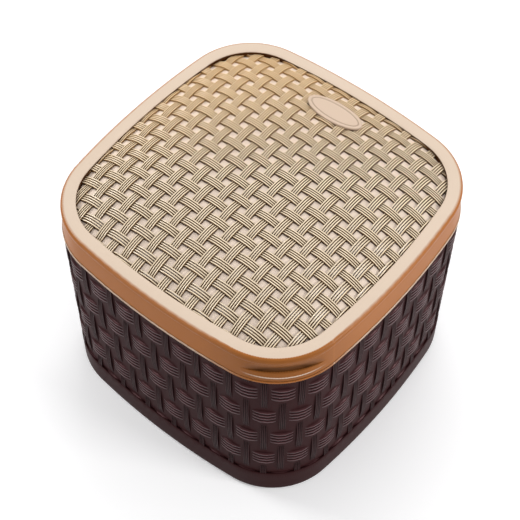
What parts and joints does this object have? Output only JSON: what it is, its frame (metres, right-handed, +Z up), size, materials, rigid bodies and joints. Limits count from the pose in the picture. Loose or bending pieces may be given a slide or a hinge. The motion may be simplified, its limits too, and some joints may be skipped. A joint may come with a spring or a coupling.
{
  "type": "spice box",
  "caption": "Square spice box with round corners: crowned basket-weave lid over a woven-look tub, with lift-out cups in a grid and a scoop.",
  "frame": {"origin": "middle of the base, on the surface that the box stands on", "axes": "+Z up; -Y is the front and +X the right-hand side; the lid's finger grip is at the front right corner"},
  "size_m": [0.192, 0.192, 0.1568],
  "materials": {
    "tub_plastic": "semi-gloss dark chocolate-brown moulded plastic",
    "lid_plastic": "satin champagne-gold pearl moulded plastic",
    "cup_plastic": "semi-gloss ivory moulded plastic",
    "spoon_plastic": "champagne-gold moulded plastic"
  },
  "bodies": {
    "tub": {"tub": "tub_plastic"},
    "lid": {"lid": "lid_plastic"},
    "cup_front_left": {"cup_front_left": "cup_plastic"},
    "cup_front_centre": {"cup_front_centre": "cup_plastic"},
    "cup_front_right": {"cup_front_right": "cup_plastic"},
    "cup_middle_left": {"cup_middle_left": "cup_plastic"},
    "cup_middle_centre": {"cup_middle_centre": "cup_plastic"},
    "cup_middle_right": {"cup_middle_right": "cup_plastic"},
    "cup_back_left": {"cup_back_left": "cup_plastic"},
    "cup_back_centre": {"cup_back_centre": "cup_plastic"},
    "cup_back_right": {"cup_back_right": "cup_plastic"},
    "spoon": {"spoon": "spoon_plastic"}
  },
  "joints": [
    {"name": "lid_lift", "type": "slide", "parent": "tub", "child": "lid", "axis": [0, 0, 1], "range_m": [0, 0.24]},
    {"name": "cup_front_left_lift", "type": "slide", "parent": "tub", "child": "cup_front_left", "axis": [0, 0, 1], "range_m": [0, 0.15]},
    {"name": "cup_front_centre_lift", "type": "slide", "parent": "tub", "child": "cup_front_centre", "axis": [0, 0, 1], "range_m": [0, 0.15]},
    {"name": "cup_front_right_lift", "type": "slide", "parent": "tub", "child": "cup_front_right", "axis": [0, 0, 1], "range_m": [0, 0.15]},
    {"name": "cup_middle_left_lift", "type": "slide", "parent": "tub", "child": "cup_middle_left", "axis": [0, 0, 1], "range_m": [0, 0.15]},
    {"name": "cup_middle_centre_lift", "type": "slide", "parent": "tub", "child": "cup_middle_centre", "axis": [0, 0, 1], "range_m": [0, 0.15]},
    {"name": "cup_middle_right_lift", "type": "slide", "parent": "tub", "child": "cup_middle_right", "axis": [0, 0, 1], "range_m": [0, 0.15]},
    {"name": "cup_back_left_lift", "type": "slide", "parent": "tub", "child": "cup_back_left", "axis": [0, 0, 1], "range_m": [0, 0.15]},
    {"name": "cup_back_centre_lift", "type": "slide", "parent": "tub", "child": "cup_back_centre", "axis": [0, 0, 1], "range_m": [0, 0.15]},
    {"name": "cup_back_right_lift", "type": "slide", "parent": "tub", "child": "cup_back_right", "axis": [0, 0, 1], "range_m": [0, 0.15]},
    {"name": "spoon_lift", "type": "slide", "parent": "tub", "child": "spoon", "axis": [0, 0, 1], "range_m": [0, 0.18]}
  ],
  "couplings": [
    {"joint": "cup_front_left_lift", "follows": "lid_lift", "ratio": 0.625},
    {"joint": "cup_front_centre_lift", "follows": "lid_lift", "ratio": 0.625},
    {"joint": "cup_front_right_lift", "follows": "lid_lift", "ratio": 0.625},
    {"joint": "cup_middle_left_lift", "follows": "lid_lift", "ratio": 0.625},
    {"joint": "cup_middle_centre_lift", "follows": "lid_lift", "ratio": 0.625},
    {"joint": "cup_middle_right_lift", "follows": "lid_lift", "ratio": 0.625},
    {"joint": "cup_back_left_lift", "follows": "lid_lift", "ratio": 0.625},
    {"joint": "cup_back_centre_lift", "follows": "lid_lift", "ratio": 0.625},
    {"joint": "cup_back_right_lift", "follows": "lid_lift", "ratio": 0.625},
    {"joint": "spoon_lift", "follows": "lid_lift", "ratio": 0.75}
  ]
}
